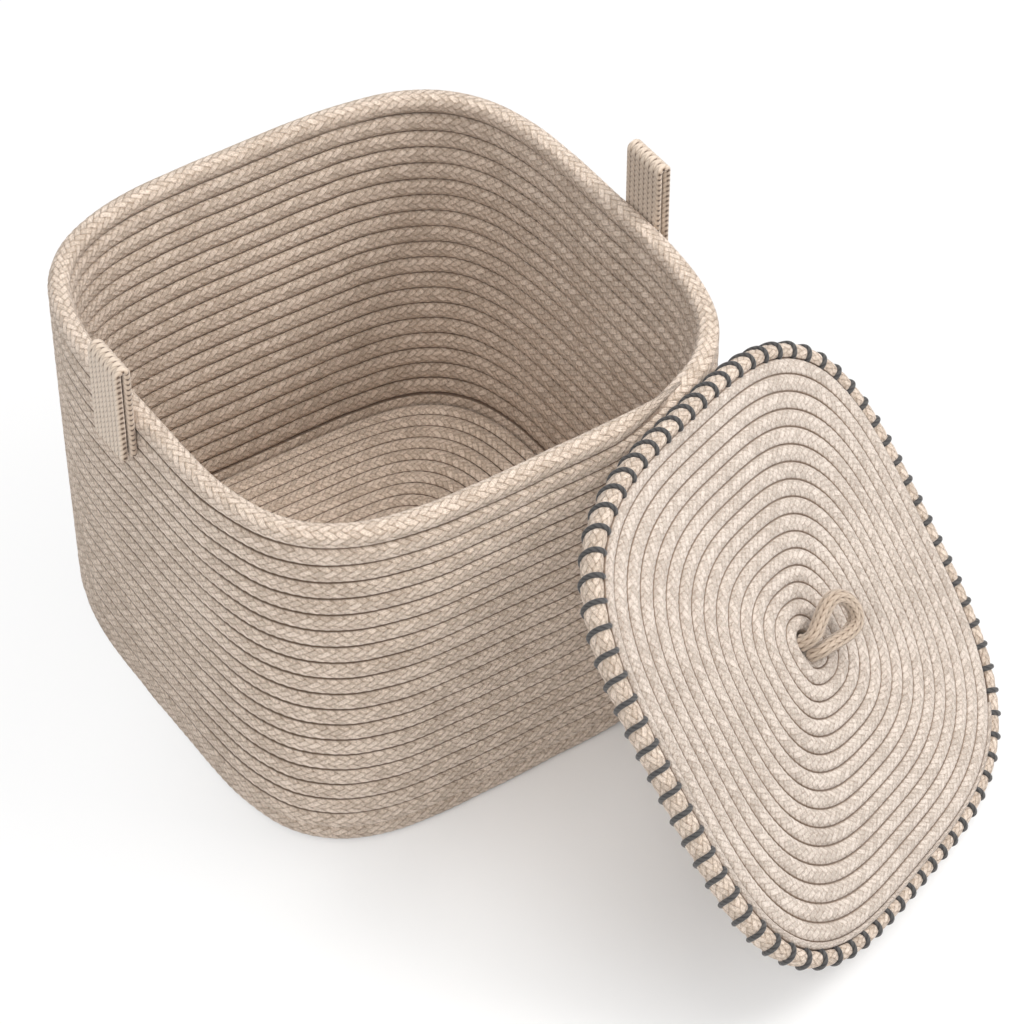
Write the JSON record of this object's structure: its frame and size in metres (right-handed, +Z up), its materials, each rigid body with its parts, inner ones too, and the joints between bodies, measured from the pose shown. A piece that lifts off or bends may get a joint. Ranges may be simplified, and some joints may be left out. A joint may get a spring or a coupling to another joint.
{
  "type": "lidded rope basket",
  "caption": "Rounded-square storage basket of coiled cotton rope, with folded webbing tabs at the rim and a coiled lid with a dark whipped edge and a pull loop leaning on its front.",
  "frame": {"origin": "middle of the base, on the surface that the basket stands on", "axes": "+Z up out of the basket; the lid leans on the wall that faces -Y; the webbing tabs are on the walls at -X and +X"},
  "size_m": [0.4084, 0.5414, 0.278],
  "materials": {
    "cotton_rope": "matte braided cotton, cream",
    "webbing": "matte ribbed cotton webbing, beige",
    "whip_cord": "charcoal grey cord, slightly waxed"
  },
  "bodies": {
    "basket": {"base_coil": "cotton_rope", "wall_coil": "cotton_rope", "handle_sewn_left": "webbing", "handle_sewn_right": "webbing"},
    "handle_left": {"handle_fold_left": "webbing"},
    "handle_right": {"handle_fold_right": "webbing"},
    "lid": {"lid_coil": "cotton_rope", "lid_edge_rope": "cotton_rope", "lid_whip_cord": "whip_cord", "loop_tail_upper": "cotton_rope", "loop_tail_lower": "cotton_rope"},
    "pull_loop": {"lid_pull_loop": "cotton_rope"}
  },
  "joints": [
    {"name": "lid_lift", "type": "slide", "parent": "basket", "child": "lid", "axis": [0.4254, -0.6808, 0.5962], "range_m": [0, 0.25]},
    {"name": "loop_flop", "type": "hinge", "parent": "lid", "child": "pull_loop", "pos_m": [0.10255, -0.26238, 0.13574], "axis": [0.4043, -0.4465, -0.7983], "range_deg": [-19, 149], "stiffness_Nm_per_rad": 0.034},
    {"name": "handle_left_flex", "type": "hinge", "parent": "basket", "child": "handle_left", "pos_m": [-0.1634, 0.005, 0.246], "axis": [0, 1, 0], "range_deg": [-60, 40], "stiffness_Nm_per_rad": 0.02},
    {"name": "handle_right_flex", "type": "hinge", "parent": "basket", "child": "handle_right", "pos_m": [0.1634, -0.018, 0.246], "axis": [0, -1, 0], "range_deg": [-60, 40], "stiffness_Nm_per_rad": 0.02}
  ]
}
